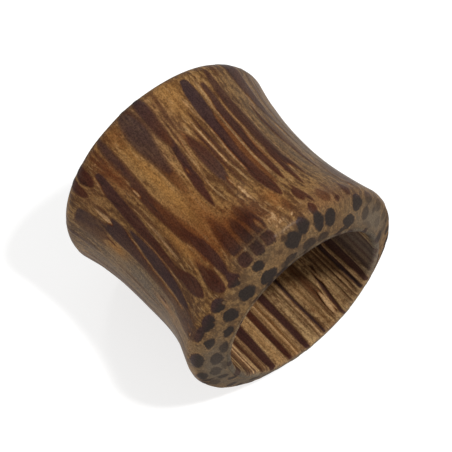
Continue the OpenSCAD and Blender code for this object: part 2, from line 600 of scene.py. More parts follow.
OVALS = """
turn  r    half tall hue depth
-16.6 7.01 4    .57  0   1
-9.4  7.11 3.6  .54  0   1
-.6   7.31 3.4  .44  .1  1
6     7.03 4.7  .54  0   1
9.6   7.46 1.8  .15  1.2 .8
-1.6  6.22 4.8  .3   .4  .9
-10.8 6.2  4.8  .22  .4  .8
12.8  6.14 6.4  .22  .4  .9
25.9  7.24 3.4  .32  .1  1
26.2  6.27 5.7  .42  0   1
39.6  6.68 5.2  .45  0   1
38    7.62 4.3  .18  .5  1
54.4  6.73 4.9  .46  0   1
51.5  7.53 4.6  .27  .1  1
61.6  7.52 5.2  .24  .1  1
69.4  7.7  5.6  .14  .2  1
65.6  6.33 4.5  .28  0   1
74.4  7.12 4.3  .32  .1  1
88    7.5  6.2  .29  0   1
78    6.25 5.2  .26  .1  .9
88    6.58 6.4  .38  0   1
102.9 7.42 5    .28  .1  1
101   6.7  5    .34  .1  .9
97    6.15 6    .16  .3  .6
114   7.1  4    .3   .2  .7
-36.5 7.32 4.5  .42  0   1
-31.2 6.5  4.9  .38  0   1
-27   6.05 4.8  .14  .1  .9
-45.2 6.83 3.6  .42  0   .8
-46.2 7.54 3.5  .24  .1  .7
-53   7.14 1.6  .3   .1  .7
-56.6 7.34 3.4  .34  .1  .6
-62   6.6  4    .3   .1  .4
-50.5 6.2  6.4  .2   .1  .4
-67   7.2  3    .36  .1  .5
-73.5 7.42 2.6  .22  .1  .5
-75   6.8  3    .3   .2  .5
14.5  7    1.7  .18  1.6 .5
17.5  6.17 1.7  .14  .5  .7
22.6  7.2  .8   .1   3   .7
48.8  7.42 .9   .12  3   .8
59.8  7.26 .8   .12  3   .7
35.6  7.5  .8   .08  3   .7
65    7.12 1.3  .09  2.9 .6
-24   6.8  .8   .1   3   .7
-41.4 7.45 .6   .14  3   .8
-50.6 7.36 .5   .16  3   .7
-39.8 6.95 .5   .22  2.9 .6
-5.2  7.36 .5   .16  2.9 .7
3.2   6.52 .7   .16  2.8 .7
"""

# %% [markdown]
# The drill laid the bundles open lengthwise in the bore. Each stripe has its turn at the
# near mouth and at the far one, and half its width. Most run as even strips from one mouth to
# the other, so the last cells say only where one begins and ends elsewhere, tapers or bends.

# %% Stripes in the bore
# The first row, a dark band on the round of the near mouth at the top, is painted shade. The broad row
# at turn 266, half 16 degrees, is painted shade on the wall that faces away from the key light.
STRIPES = """
turn        half hue depth soft x        form bow
10          38   .2  .9    .6   7.5>7.3  .2
129.6       1.3  .4  .9    0
132.2       1    .6  .9    0
134.4       .6   3   1     0
135.3       .5   .5  .9    0
137.2       1.2  3   1     0
139.3       .6   .8  .8    .2
141.2       1    3   1     0
146.2       2.3  .9  .9    .5
150>150.2   .8   2.7 .6    .2
155.7>158.2 4.5  .6  1     .1
163.4>163.8 .4   1.2 .3    .4   7.4>-7.9 .2
166.8>167.2 .6   2.9 .5    .3   7.4>-7.9 .2
171.6       2.6  .9  1     .1
175.2>175.4 .4   1.2 .7    .2
177.2>177.8 .8   2.9 .8    .1
178.8>179.2 .5   1.4 .7    .1
181.4>181.6 1    2.8 .5    .3
185.6       2.9  .6  1     .1
194>194.5   .6   1.6 .3    .8
196.4>196.2 .4   1   .6    .2
198.2>197.8 .8   3   .8    .1
200.8>201.2 1.2  .3  1     0
206         .6   1.6 .3    .8
210.4       .5   1   .6    .1
214.4>213   2.9  1.3 .7    .5   7>-7.9
217.5>225   1.7  .3  1     .1   7.6>3.4  .2   -1.5
216.5>217.6 .4   2.9 .7    .1   7>5.2    .5   -.6
222.6>223.5 .6   2.8 .7    .1
227>228     .5   .9  .7    .1
229.3>229.6 .4   2.7 .5    .1
231.4>231.2 .4   1   .7    .1
232.6>232.4 .5   2.9 .7    .1
234.6       .8   1.1 .6    .3
238.9>239.5 2    .1  1     0
241.8>242   .7   2.8 .8    .1
266         16   0   .4    .4
247         3.4  .5  1     0
255         1.4  .3  .9    .2
262         1.2  .3  .9    .2
269         1.6  .3  .9    .2
276         1.4  .3  .9    .2
213.7>215   1.3  3   1     .1   7.2>5.1  .8
"""

# %% [markdown]
# The three charts become one list. Every bundle, whatever its sheet, is then a line from one
# measure and turn to another, with a swelling width, so one set of nodes can draw them all.
# The list is stored on the points of a small mesh, where Geometry Nodes can look it up.

# %% Charts into rows of points


def number(word):
    """A number, or a pair of them where the chart says from>to."""
    values = tuple(map(float, word.split(">")))
    return values if len(values) > 1 else values[0]


def chart(text, **usual):
    """Its rows by the names in its first line, with the usual value where a cell is left out."""
    names, *rows = [line.split() for line in text.strip().splitlines()]
    return [{**usual, **dict(zip(names, map(number, row)))} for row in rows]


def both_ends(value):
    """The value at the two ends of a bundle."""
    return value if isinstance(value, tuple) else (value, value)


def bundle_row(row, along_from, along_to):
    """A charted bundle as the vectors that the drawing tree reads."""
    turns, hues, depths = (both_ends(row[name]) for name in ("turn", "hue", "depth"))
    power = math.log(0.5) / math.log(row["peak"])
    return {"from": (along_from, turns[0], hues[0]), "to": (along_to, turns[1], hues[1]),
            "swell": (row["half"], power, row["form"]), "more": (row["bow"], *depths),
            "edge": (row["soft"], 0.0, 0.0)}


usual = {"peak": 0.5, "bow": 0.0}
bundle_rows = [bundle_row(row, *map(along_at_x, row["x"])) for row in chart(STREAKS, **usual)]
for row in chart(OVALS, form=0.5, soft=OVAL_SOFT, **usual):
    top = along_at_r(row["r"] + row["tall"])
    bundle_rows.append(bundle_row(row, top, along_at_r(row["r"] - row["tall"])))
for row in chart(STRIPES, x=(7.4, -7.9), form=0.1, **usual):
    bundle_rows.append(bundle_row(row, *(BORE_SHEET + x for x in row["x"])))
charted = rows_object("charted_bundles", bundle_rows)

# %% [markdown]
# The back, the underside and the far end are not charted. There the wood is grown instead:
# rods of bundle stand at random in the ring of wood, no closer than real ones do, each with
# a slight lean, and the surface shows them where it cuts them. One seed keeps them the same.

# %% Grown bundles for the rest of the ring
GROWN_SEED = 11
GROWN_TRIES = 4000
ROD_MARGIN = 0.3
ROD_SPACING = 0.98
ROD_R = (0.26, 0.46)
ROD_LEAN = 0.02
ROD_HUE = (0.1, 0.9)


def grown_rods():
    """Rods with a root (y, z, radius) from the axis, and a lean (along y, along z, hue)."""
    draw = random.Random(GROWN_SEED)
    rods = []
    for attempt in range(GROWN_TRIES):
        r = draw.uniform(BORE_R - ROD_MARGIN, FLARE_R + ROD_MARGIN)
        angle = draw.uniform(0, 2 * math.pi)
        size = draw.uniform(*ROD_R)
        y = r * math.sin(angle)
        z = r * math.cos(angle)
        if all(math.hypot(y - rod["root"][0], z - rod["root"][1]) > ROD_SPACING for rod in rods):
            lean = (draw.gauss(0, ROD_LEAN), draw.gauss(0, ROD_LEAN), draw.uniform(*ROD_HUE))
            rods.append({"root": (y, z, size), "lean": lean})
    return rods


grown = rows_object("grown_bundles", grown_rods())

# %% [markdown]
# Broad tints lie under the bundles: golden, warm or dulled to a greyish tone, and a negative
# number takes a tint away. The dulling is partly the wood's own and partly painted sheen where
# the waist and the end face turn away at their sides. Each is a soft patch, `long` millimetres
# along and `wide` degrees round from its middle, and `light` makes all the wood in it paler or
# darker by that share; in some rows that is painted light and shade, not the wood's own colour.
# `sheet` is 0 for the waist, 1 for the near end face, where the next number is the distance from
# the axis, and 2 for the bore. A painted map could hold the tints too, but it would need an image.

# %% Tints of the ground
# Painted light: the bore row at turn 267 lifts the wall that faces away from the key light, and the
# waist rows at x 2.5 and 5.3 near turn 6.5 brighten small glints.
# Painted shade: the bore rows at x 7.5 and 7.6 and the end-face row at r 6 near turn 2 darken the round
# of the near mouth and its edge.
# Painted sheen: the dulling rows at turns -50, 79 and 97 on the waist and -58, 98 and 142 on the end
# face.
TINTS = """
sheet x    turn  long wide warm gold grey light
0     -1.4 32    5    3    0    1
0     -5.8 31    .9   5    .7   0    0    -.1
0     -4.4 20    2.4  7    .4   0    .3   -.04
0     -4   8     2.4  4    .4   0    .2   -.02
0     2.8  28    2    4    .9   .2
0     1.6  38    2.4  4    .9   .2
0     4.2  20    1.5  10   1.7  0    0    -.25
0     5.8  21    .8   10   -.2  0    .8   -.38
0     0    -12   6    10   0    0    .1   -.06
0     .6   25.5  1.8  3    .5   .6   0    -.04
0     4.1  -.5   1    3.5  .7   .8   0    .1
0     5.3  6.5   .5   2.2  .3   0    0    .16
0     2.5  6.4   .6   1.2  0    0    0    .16
0     2    46    2.2  3    .3   .9   0    .06
0     3.6  38    1.5  6    .9
0     -5.4 0     1.8  7    0    .7
0     -.5  19.5  2.6  3    0    .3   0    .1
0     -4.6 44.8  1.8  4.5  1.4  0    0    -.2
0     -2.1 77    1.1  3.2  .3   1.2  -.6  .04
0     1.6  79    4.5  6    0    0    .8   .04
0     2.8  79.6  1.3  3    .3   1    -.7  .06
0     -4.6 62    1.4  6    .5   0    .1   -.12
0     0    97    8    18   0    0    .9   .1
0     0    -50   8    15   0    0    .7   -.18
0     1    -31   7    9    0    0    .35  -.14
0     5.8  -20   .9   16   .7   0    .2
1     6.8  -25   .8   5    0    .5
1     6.6  16    .8   6    0    .6   0    -.05
1     6.6  -58   .9   22   0    0    1.3  .14
1     6.6  98    .9   26   0    0    1.2  .04
1     6.6  142   .9   24   0    0    1.2
1     6    2     .3   16   .5   0    .8   -.2
1     6.7  10    1.2  50   0    0    .4   -.06
2     4    164   8    3.4  0    .6   0    -.02
2     4    177.5 8    3.4  0    .7   0    .03
2     4    207   8    4    .2   .3
2     2    267   9    15   0    0    1.9  .56
2     6.2  214.4 .9   1.6  0    0    .2   .28
2     4    138   8    5    0    0    .3   .12
2     7.6  170   .2   60   0    0    1.4  -.12
2     7.5  -60   .5   50   0    0    1.3  -.35
2     7.5  20    .5   40   0    0    .8   -.55
2     7.5  100   .5   30   0    0    1.3  -.35
"""


def tint_row(row):
    """A tint as the vectors that the drawing tree reads."""
    measure = (along_at_x, along_at_r, lambda x: BORE_SHEET + x)[int(row["sheet"])]
    return {"place": (measure(row["x"]), row["turn"], 0.0),
            # The spread's last number is a paleness that in some rows is painted light and shade, and
            # the dulling colour is partly painted sheen.
            "spread": (row["long"], row["wide"], row["light"]),
            "colour": (row["warm"], row["gold"], row["grey"])}


tint_rows = [tint_row(row) for row in chart(TINTS, gold=0.0, grey=0.0, light=0.0)]
tints = rows_object("ground_tints", tint_rows)

# %% [markdown]
# The second tree draws the wood. For each point it works out how deep that point lies inside
# the nearest bundle, in millimetres, with a minus sign outside. A material can then cut a
# crisp edge anywhere near zero, which is sharper than any colour stored on the points could
# be. A charted bundle is a line with a swelling width. Its stain comes in across the outline,
# from `STAIN_BEGINS` to `STAIN_FULL` deep, and lies over what was drawn there before.

# %% Drawing a charted bundle
STAIN_BEGINS = -0.10
STAIN_FULL = 0.03


def round_difference(turn, other):
    """The turn from one place to another, the short way round."""
    return (turn - other).math("WRAP", 180.0, -180.0)


def painted(geometry, depth_inside, *own):
    """Lays a bundle's own hue, depth and softness over what is there."""
    tree = geometry.tree
    cover = ease(depth_inside, STAIN_BEGINS, STAIN_FULL)
    under = parts(recall(tree, "stain", VECTOR))
    stain = vector(tree, *(blend(cover, old, new) for old, new in zip(under, own)))
    geometry = keep(geometry, "stain", stain, VECTOR)
    return keep(geometry, "bundle", recall(tree, "bundle").math("MAXIMUM", depth_inside))


def drawn_bundle(geometry, rows, index):
    """One charted bundle; its bow is a parabola that is highest in the middle."""
    along, turn, r = parts(recall(geometry.tree, "stirred", VECTOR))
    along_from, turn_from, hue_from = parts(look_up(rows, "from", index))
    along_to, turn_to, hue_to = parts(look_up(rows, "to", index))
    half, power, form = parts(look_up(rows, "swell", index))
    bow, depth_from, depth_to = parts(look_up(rows, "more", index))
    soft = parts(look_up(rows, "edge", index))[0]
    length = along_to - along_from
    free = (along - along_from) / length
    share = free.math("MAXIMUM", 0.0).math("MINIMUM", 1.0)
    middle = blend(share, turn_from, turn_to) + bow * 4.0 * share * (1.0 - share)
    across = round_difference(turn, middle) * r * DEGREE
    beyond = (free - share) * length
    swell = (share.math("POWER", power) * math.pi).math("SINE").math("MAXIMUM", 0.0)
    reach = half * DEGREE * r * swell.math("POWER", form)
    depth_inside = reach - (across * across + beyond * beyond).math("SQRT")
    hue = blend(share, hue_from, hue_to)
    return painted(geometry, depth_inside, hue, blend(share, depth_from, depth_to), soft)


# %% [markdown]
# A grown rod is a leaning line through the wall, and a point is inside it when it is closer
# to the line than the rod's radius. Where the chart is shown, the rod is taken to be
# `HIDDEN_BY` millimetres further off. A tint is a bell-shaped patch that is simply added up.

# %% Drawing a grown rod and a tint
GROWN_DEPTH = 0.95
GROWN_SOFT = 0.2
HIDDEN_BY = 9.0


def grown_bundle(geometry, rows, index):
    """One grown rod, cut by the surface where no chart was made."""
    tree = geometry.tree
    x, y, z = parts(recall(tree, "stirred_place", VECTOR))
    root_y, root_z, size = parts(look_up(rows, "root", index))
    lean_y, lean_z, hue = parts(look_up(rows, "lean", index))
    off_y = y - root_y - lean_y * x
    off_z = z - root_z - lean_z * x
    hidden = recall(tree, "shown") * HIDDEN_BY
    depth_inside = size - (off_y * off_y + off_z * off_z).math("SQRT") - hidden
    return painted(geometry, depth_inside, hue, GROWN_DEPTH, GROWN_SOFT)


def drawn_tint(geometry, rows, index):
    """One soft patch of tint, added to the others."""
    tree = geometry.tree
    along, turn = parts(recall(tree, "stirred", VECTOR))[:2]
    place_along, place_turn = parts(look_up(rows, "place", index))[:2]
    long, wide, light = parts(look_up(rows, "spread", index))
    off_along = (along - place_along) / long
    off_turn = round_difference(turn, place_turn) / wide
    strength = (0.0 - off_along * off_along - off_turn * off_turn).math("EXPONENT")
    # The dulling colour is partly painted sheen, and the paleness kept below holds painted light and
    # shade in some rows.
    colour = times(look_up(rows, "colour", index), vector(tree, strength, strength, strength))
    geometry = keep(geometry, "lightness", recall(tree, "lightness") + light * strength)
    return keep(geometry, "tint", shift(recall(tree, "tint", VECTOR), colour), VECTOR)


print("a bundle, a rod and a tint can be drawn")

# %% [markdown]
# Before anything is drawn, noise stirs where each point takes itself to be: `SLOW_STIR` sways
# the bundles sideways over a few millimetres, `QUICK_STIR` makes their edges uneven, `END_STIR`
# moves their ends along the bore, and `LIFT_STIR` moves the grown rods up and down. The chart
# holds within `Charted Half` degrees of its middle turn, and as far as the round of the far
# flare. It fades over a few degrees, and the grown rods begin there.

# %% The tree that draws the bundles, put together
FAR_OUTSIDE = -3.0
SLOW_STIR = 3.0
QUICK_STIR = 1.6
END_STIR = 4.0
LIFT_STIR = 1.2
CHART_FADE = 3.0
CHART_STARTS = -7.4
CHART_FULL = -6.8
UNMARKED = (0.8, 0.0, 0.0)


def bundle_tree():
    drawers = {"Grown": grown_bundle, "Charted": drawn_bundle, "Tints": drawn_tint}
    tree, wires = new_tree("drawn_bundles", "GeometryNodeTree",
                           {"Turned": (GEOMETRY, None), **dict.fromkeys(drawers, (THING, None)),
                            "Seed": (NUMBER, 1.0), "Stir": (NUMBER, 0.1),
                            "Charted Turn": (NUMBER, 20.0), "Charted Half": (NUMBER, 85.0),
                            "Bore Turn": (NUMBER, 194.0), "Bore Half": (NUMBER, 70.0)},
                           {"Drawn": GEOMETRY})
    r, along = parts(recall(tree, "spot", VECTOR))[1:]
    turn = recall(tree, "turn")
    bore_share = recall(tree, "in_bore")
    place = wire(tree, "GeometryNodeInputPosition", {})
    place = times(shift(place, (0.0, 0.0, -AXIS_HEIGHT * MM)), (1 / MM, 1 / MM, 1 / MM))
    seed, stir = wires["Seed"], wires["Stir"]
    slow = noise(place, squeeze=0.3, per_mm=0.6, detail=1.0, seed=seed) - 0.5
    quick = noise(place, squeeze=0.35, per_mm=2.2, detail=2.0, seed=seed + 7.0) - 0.5
    ends = noise(place, squeeze=1.0, per_mm=1.3, detail=2.0, seed=seed + 3.0) - 0.5
    sideways = (slow * SLOW_STIR + quick * QUICK_STIR) * stir
    stirred = vector(tree, along + ends * stir * END_STIR, turn + sideways / (r * DEGREE), r)
    lifted = vector(tree, 0.0, sideways, (quick + ends) * stir * LIFT_STIR)
    middle = blend(bore_share, wires["Charted Turn"], wires["Bore Turn"])
    half = blend(bore_share, wires["Charted Half"], wires["Bore Half"])
    beyond = round_difference(turn, middle).math("ABSOLUTE") - half
    shown = ease(beyond, CHART_FADE, -CHART_FADE) * ease(along, CHART_STARTS, CHART_FULL)
    facts = {"stirred": (stirred, VECTOR), "stirred_place": (shift(place, lifted), VECTOR),
             "shown": (shown, "FLOAT"), "bundle": (FAR_OUTSIDE, "FLOAT"), "stain": (UNMARKED, VECTOR),
             "tint": ((0.0, 0.0, 0.0), VECTOR), "lightness": (0.0, "FLOAT")}
    drawn = wires["Turned"]
    for name, (value, kind) in facts.items():
        drawn = keep(drawn, name, value, kind)
    for name, draw in drawers.items():
        rows = wire(tree, "GeometryNodeObjectInfo", {"Object": wires[name]}, "Geometry")
        drawn = for_each_row(drawn, rows, draw)
    return finish_tree(tree, {"Drawn": drawn})


use_tree(tunnel, bundle_tree(),
         {"Charted": charted, "Grown": grown, "Tints": tints, "Seed": 4.0, "Stir": 0.1})

# %% [markdown]
# The third tree carves. Sanding leaves the hard bundles a hair proud of the waist, the drill
# tears the bore into grooves and ridges, and the hand took a little too much off one side of
# the waist. All of it is real relief in the mesh, so it also shows where light rakes over it.
# A pale fibre, from hue `PALE_BEGINS` on, lies as deep in the waist as a dark bundle stands
# proud there. In the bore, where the dark bundles are torn out into grooves, it is a low ridge.
# The bore's relief fades out before the mouths, and nothing is pushed below the table.

# %% The tree that carves
HOLLOW_X = 3.2
HOLLOW_TURN = 101.0
HOLLOW_LONG = 1.9
HOLLOW_WIDE = 23.0
BODY_BEGINS = -0.06
BODY_FULL = 0.08
PALE_BEGINS = 2.2
PALE_FULL = 2.7
PALE_SINKS = 2.0
PALE_RISES = 1.35
CALM_IN_BUNDLE = 0.6
MOUTH_FADE = 0.7


def carve_tree():
    tree, wires = new_tree("carved", "GeometryNodeTree",
                           {"Drawn": (GEOMETRY, None), "Seed": (NUMBER, 1.0), "Proud": (NUMBER, 0.02),
                            "Uneven": (NUMBER, 0.05), "Groove": (NUMBER, 0.08),
                            "Tear": (NUMBER, 0.05), "Hollow": (NUMBER, 0.26),
                            "Outside": (FINISH, None), "Inside": (FINISH, None)},
                           {"Carved": GEOMETRY})
    x, along = parts(recall(tree, "spot", VECTOR))[::2]
    bore_share = recall(tree, "in_bore")
    place = times(wire(tree, "GeometryNodeInputPosition", {}), (1 / MM, 1 / MM, 1 / MM))
    body = ease(recall(tree, "bundle"), BODY_BEGINS, BODY_FULL)
    pale = ease(parts(recall(tree, "stain", VECTOR))[0], PALE_BEGINS, PALE_FULL)
    seed = wires["Seed"]
    uneven = noise(place, squeeze=1.0, per_mm=0.35, detail=1.0, seed=seed) - 0.5
    uneven = uneven * wires["Uneven"] * 2.0
    hollow_x = (x - HOLLOW_X) / HOLLOW_LONG
    hollow_turn = round_difference(recall(tree, "turn"), HOLLOW_TURN) / HOLLOW_WIDE
    hollow = (0.0 - hollow_x * hollow_x - hollow_turn * hollow_turn).math("EXPONENT")
    over_waist = body * (1.0 - pale * PALE_SINKS) * wires["Proud"] + uneven - hollow * wires["Hollow"]
    torn = noise(place, squeeze=0.1, per_mm=2.6, detail=2.0, seed=seed + 5.0) - 0.5
    torn = torn * wires["Tear"] * 2.0 * (1.0 - body * CALM_IN_BUNDLE)
    in_hole = body * (pale * PALE_RISES - 1.0) * wires["Groove"] + torn
    from_middle = (along - BORE_SHEET).math("ABSOLUTE")
    in_hole = in_hole * ease(from_middle, HALF_LENGTH, HALF_LENGTH - MOUTH_FADE)
    height = blend(bore_share, over_waist, in_hole) * MM
    normal = wire(tree, "GeometryNodeInputNormal", {})
    offset = wire(tree, "ShaderNodeVectorMath", {0: normal, "Scale": height}, operation="SCALE")
    carved = wire(tree, "GeometryNodeSetPosition", {"Geometry": wires["Drawn"], "Offset": offset})
    new_x, new_y, new_z = parts(wire(tree, "GeometryNodeInputPosition", {}))
    on_table = vector(tree, new_x, new_y, new_z.math("MAXIMUM", 0.0))
    carved = wire(tree, "GeometryNodeSetPosition", {"Geometry": carved, "Position": on_table})
    carved = wire(tree, "GeometryNodeSetShadeSmooth", {"Geometry": carved})
    carved = wire(tree, "GeometryNodeRealizeInstances", {"Geometry": carved})
    values = {"Geometry": carved, "Material": wires["Outside"]}
    carved = wire(tree, "GeometryNodeSetMaterial", values)
    inner = bore_share.math("GREATER_THAN", 0.5)
    values = {"Geometry": carved, "Selection": inner, "Material": wires["Inside"]}
    carved = wire(tree, "GeometryNodeSetMaterial", values)
    return finish_tree(tree, {"Carved": carved})


outside_wood = bpy.data.materials.new("polished_palm")
bore_wood = bpy.data.materials.new("bored_palm")
use_tree(tunnel, carve_tree(), {"Seed": 2.0, "Outside": outside_wood, "Inside": bore_wood})

# %% [markdown]
# The frame needs a plain mesh, not a stack of modifiers, so the result is taken
# once and the three trees are removed. The chart meshes have done their work and go too. The
# volume is a quick check: it comes out negative if the faces point inwards.

# %% One plain mesh of the turned, drawn and carved piece


def plain_mesh(thing):
    """Turns the result of the modifiers into the object's own mesh."""
    bpy.context.view_layer.update()
    graph = bpy.context.evaluated_depsgraph_get()
    evaluated = thing.evaluated_get(graph)
    mesh = bpy.data.meshes.new_from_object(evaluated, preserve_all_data_layers=True, depsgraph=graph)
    thing.modifiers.clear()
    thing.data = mesh
    return mesh


mesh = plain_mesh(tunnel)
for helper in (charted, grown, tints):
    bpy.data.objects.remove(helper)
mesh.calc_loop_triangles()
corners = np.array([vertex.co for vertex in mesh.vertices])
triangles = corners[np.array([triangle.vertices for triangle in mesh.loop_triangles])]
volume = np.einsum("ij,ij->", triangles[:, 0], np.cross(triangles[:, 1], triangles[:, 2])) / 6
print(f"{len(triangles)} triangles, volume {volume / MM ** 3:.1f} cubic mm")

# %% [markdown]
# Palm wood's ground is soft cork-like tissue between the bundles: thin fibres all along the
# bore, a granular speckle, and open pores. Both finishes use it, so it is a node group of
# noises: `finer` sets the scale of each against the fibres, and `offset` shifts its seed. The
# noises read the object's own coordinates in millimetres, squeezed along the bore, so that
# one grain runs through the whole piece: lines on the waist, and dots where it is cut across.

# %% Node group: the grain of the ground


def paint(red, green, blue):
    """A colour as seen on a screen, from 0 to 255, in the linear values that shaders want."""
    linear = [((part / 255 + 0.055) / 1.055) ** 2.4 for part in (red, green, blue)]
    return (*linear, 1.0)


GRAIN = {
    "Fibre": {"squeeze": 0.09, "finer": 1.0, "detail": 3.0, "offset": 0.0},
    "Band": {"squeeze": 0.16, "finer": 0.22, "detail": 2.0, "offset": 11.0},
    "Hair": {"squeeze": 0.06, "finer": 1.4, "detail": 1.0, "offset": 59.0},
    "Speckle": {"squeeze": 0.6, "finer": 1.3, "detail": 3.0, "offset": 23.0},
    "Grit": {"squeeze": 0.75, "finer": 3.0, "detail": 1.0, "offset": 47.0},
    "Pore": {"squeeze": 0.6, "finer": 2.0, "detail": 1.0, "offset": 31.0},
}
PORE_BEGINS = 0.64
PORE_FULL = 0.72


def grain_group():
    tree, wires = new_tree("palm_grain", "ShaderNodeTree",
                           {"Place": (PLACE, None), "Fibre Density": (NUMBER, 4.0),
                            "Seed": (NUMBER, 0.0)},
                           dict.fromkeys(GRAIN, NUMBER))
    grain = {name: noise(wires["Place"], look["squeeze"], wires["Fibre Density"] * look["finer"],
                         look["detail"], wires["Seed"] + look["offset"]) for name, look in GRAIN.items()}
    grain["Pore"] = ease(grain["Pore"], PORE_BEGINS, PORE_FULL)
    return finish_tree(tree, grain)


palm_grain = grain_group()

# %% [markdown]
# The colour of the wood is mixed in one more group, from what the points know and from the
# grain. The bundle's measure is roughened by the grain before it is cut, so its edge frays
# at the scale of single fibres, and a warm rim is left where the bundle's stain seeps out.

# %% Helpers for shaders


def use_group(tree, group, values):
    """Places a group in a tree and gives its outputs by name."""
    placed = node(tree, "ShaderNodeGroup", values, node_tree=group)
    return {socket.name: Wire(tree, socket) for socket in placed.outputs}


def attribute(tree, name, output="Fac"):
    return wire(tree, "ShaderNodeAttribute", {}, output, attribute_name=name)


def glazed(colour, *layers):
    """The colour under thin layers, each with its share and its own colour."""
    for share, layer in layers:
        values = {0: share, 6: colour, 7: layer}
        colour = wire(share.tree, "ShaderNodeMix", values, 2, data_type="RGBA")
    return colour


def ramp(share, stops):
    """A colour ramp with a colour at each stop."""
    made = node(share.tree, "ShaderNodeValToRGB", {0: share})
    elements = made.color_ramp.elements
    while len(elements) < len(stops):
        elements.new(0.5)
    for element, (position, colour) in zip(elements, stops):
        element.position = position
        element.color = colour
    return Wire(share.tree, made.outputs[0])


print("helpers for shaders are ready")

# %% [markdown]
# The colours are chosen for the wood in soft light: some for the ground and its stains,
# some for the bundles. `HEARTS` holds a bundle's colour at hue 0, 1, 2 and 3.

# %% The palette
GROUND = paint(140, 108, 64)
SHADE = paint(92, 66, 40)
PALE_HAIR = paint(152, 122, 84)
DARK_HAIR = paint(62, 40, 26)
GOLD = paint(140, 98, 50)
WARM = paint(98, 52, 24)
# The dulling tint's greyish colour, partly painted sheen.
GREY_AND_SHEEN = paint(88, 80, 68)
COLD_GROUND = paint(84, 70, 52)
PORE = paint(64, 40, 22)
# Hue 3, straw-pale, is also used for pale flecks that are partly painted glints near the lip and the
# crests.
HEARTS = (paint(50, 37, 37), paint(57, 27, 17), paint(106, 62, 30), paint(172, 138, 98))
HEART_FIBRE = paint(78, 56, 44)
HEART_BAND = paint(98, 58, 34)
HEART_HAIR = paint(34, 22, 18)
COLD_HEART = paint(37, 33, 30)
STAINED_RIM = paint(76, 46, 26)
PALE_FRINGE = paint(150, 114, 74)
# A dull greyish veil, partly painted sheen, that also lifts a shaded wall of the bore as painted light.
DULL_AND_SHEEN = paint(94, 84, 74)
print("20 colours mixed")

# %% [markdown]
# In the group, the ground is shaded by its grain and glazed with hairs, tints and pores, where
# the dulling tint is partly painted sheen. The heart of a bundle gets its own fine lines. Then the
# rim's stain, the torn pale fringe and the heart are laid over the ground, and last a dull veil
# that is partly painted sheen and lifts a shaded wall of the bore as painted light. The grit makes
# each speck a little lighter or darker, and the tints' paleness, which holds painted light and
# shade in some places, makes the whole wood paler or darker.

# %% Node group: the colour of the wood, put together


def colour_group():
    tree, wires = new_tree("palm_colour", "ShaderNodeTree",
                           {"Bundle": (NUMBER, 0.0), "Hue": (NUMBER, 0.5), "Depth": (NUMBER, 1.0),
                            "Soft": (NUMBER, 0.0), "Tint": (PLACE, None),
                            **dict.fromkeys(GRAIN, (NUMBER, 0.5)), "Lightness": (NUMBER, 0.0),
                            "Fray": (NUMBER, 0.2), "Coldness": (NUMBER, 0.0),
                            "Ground": (COLOUR, GROUND), "Shade": (COLOUR, SHADE)},
                           {"Colour": COLOUR})
    fibre, band, speckle, hair = (wires[name] for name in ("Fibre", "Band", "Speckle", "Hair"))
    cold, soft, hue, depth = (wires[name] for name in ("Coldness", "Soft", "Hue", "Depth"))
    warm, gold, grey = parts(wires["Tint"])
    light = ease(fibre * 0.55 + band * 0.35 + speckle * 0.4, 0.555, 0.745)
    ground = glazed(wires["Shade"], (light, wires["Ground"]),
                    (ease(hair, 0.6, 0.7) * 0.45, PALE_HAIR),
                    (ease(hair, 0.4, 0.3) * 0.5, DARK_HAIR),
                    (gold.math("MINIMUM", 1.0) * 0.6, GOLD),
                    ((warm * 0.6).math("MINIMUM", 0.85), WARM),
                    # dulling tint, partly painted sheen
                    ((grey * 0.6).math("MINIMUM", 0.85), GREY_AND_SHEEN),
                    (cold * 0.32, COLD_GROUND),
                    (wires["Pore"] * 0.5, PORE))
    roughened = ((fibre - 0.5) * 0.9 + (speckle - 0.5) * 0.7) * (wires["Fray"] + cold * 0.14)
    frayed = wires["Bundle"] + roughened * (1.0 + soft * 1.5)
    core = ease(frayed, soft * -0.14 - 0.06, soft * 0.2 + 0.075)
    rim = ease(frayed, -0.34, 0.0) * depth * ease(band + speckle * 0.4, 0.45, 0.85, 0.35, 1.0)
    rim = rim * ease(hue, 2.6, 1.9)
    fringe = ease(frayed, -0.15, -0.06) * ease(frayed, 0.0, -0.05) * ease(band, 0.48, 0.6)
    fringe = fringe * (1.0 - soft) * ease(warm, 1.0, 0.2)
    last = len(HEARTS) - 1
    heart = ramp(hue / last, [(step / last, colour) for step, colour in enumerate(HEARTS)])
    heart = glazed(heart,
                   (ease(fibre, 0.4, 0.75) * 0.28, HEART_FIBRE),
                   (ease(band, 0.5, 0.64) * (0.16 - cold * 0.16), HEART_BAND),
                   (ease(hair, 0.42, 0.32) * 0.4, HEART_HAIR),
                   (cold * 0.8, COLD_HEART))
    wood = glazed(ground,
                  (rim * (0.65 - cold * 0.4), STAINED_RIM),
                  (fringe * 0.3, PALE_FRINGE),
                  (core * depth, heart),
                  # dull veil, partly painted sheen, which also lifts the shaded bore wall as painted
                  # light
                  ((grey * 0.2).math("MINIMUM", 0.35), DULL_AND_SHEEN))
    grit = 1.0 + ease(wires["Grit"], 0.25, 0.75, -0.32, 0.32) * (1.0 - cold * 0.4)
    # the tints' paleness, partly painted light and shade
    grit = grit * (1.0 + wires["Lightness"])
    return finish_tree(tree, {"Colour": times(wood, vector(tree, grit, grit, grit))})


palm_colour = colour_group()

# %% [markdown]
# The waist and the flares are oiled and rubbed until they shine a little; the end faces were
# only sanded, so they are matt and colder. One material covers both, and the slope of the
# surface, which the mesh knows as `end_share`, moves it from one finish to the other. What is
# the same all over, such as the coat's roughness, is set on the shader itself.

# %% Material: the outside
BUMP_DISTANCE = 0.05 * MM
SANDED_BEGINS = 0.35
SANDED_FULL = 0.75


def set_inputs(shader, values):
    for name, value in values.items():
        shader.inputs[name].default_value = value


